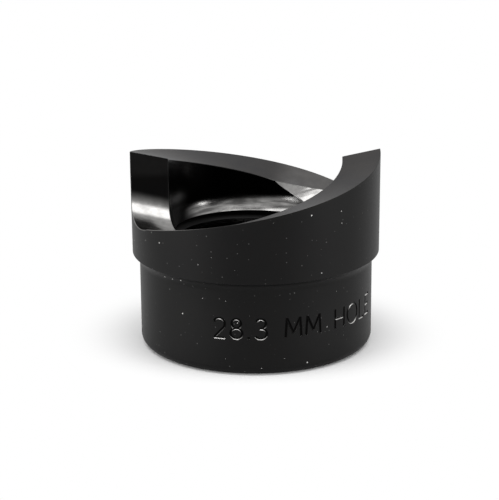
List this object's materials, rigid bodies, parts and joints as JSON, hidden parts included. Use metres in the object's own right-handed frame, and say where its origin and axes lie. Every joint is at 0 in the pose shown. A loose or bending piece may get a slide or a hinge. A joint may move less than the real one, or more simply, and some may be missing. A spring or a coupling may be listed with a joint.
{
  "type": "knockout punch",
  "caption": "Round black steel knockout punch: a cup with helical cutting ramps ending in upright tooth faces, a stepped body and a threaded hole for a draw stud.",
  "frame": {"origin": "centre of the base face that the punch stands on", "axes": "+Z along the punch axis from the base to the tooth tips; the two tooth faces lie in the XZ plane"},
  "size_m": [0.0282, 0.0282, 0.0222],
  "materials": {
    "black_oxide_steel": "satin black oxide on turned tool steel"
  },
  "bodies": {
    "root": {"punch_body": "black_oxide_steel"}
  },
  "joints": []
}
